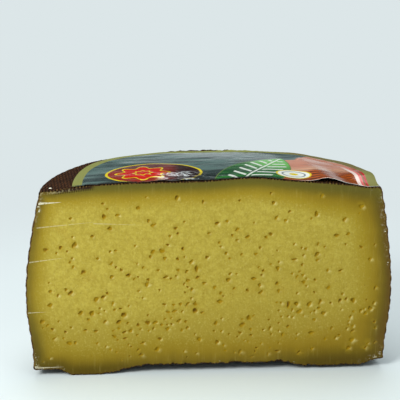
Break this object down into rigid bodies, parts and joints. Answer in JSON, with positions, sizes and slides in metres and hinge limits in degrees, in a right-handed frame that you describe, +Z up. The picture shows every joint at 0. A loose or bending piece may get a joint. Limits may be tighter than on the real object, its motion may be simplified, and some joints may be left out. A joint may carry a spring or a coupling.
{
  "type": "half wheel of cured cheese",
  "caption": "Half wheel of pressed cured cheese, cut face upright, plait-marked rind and a round printed label on top.",
  "frame": {"origin": "on the table under the middle of the half wheel: centre of its bounding box, at the bottom", "axes": "+Z up along the wheel's own axis, +X along the cut face, +Y from the cut face into the half wheel"},
  "size_m": [0.1998, 0.0999, 0.1117],
  "materials": {
    "paste": "moist satin cut paste, straw yellow, darker towards the rind",
    "rind": "dry brown rind with a plaited and cloth-woven imprint",
    "label": "glossy printed foil"
  },
  "bodies": {
    "root": {"cheese": "paste", "label": "label"}
  },
  "joints": []
}
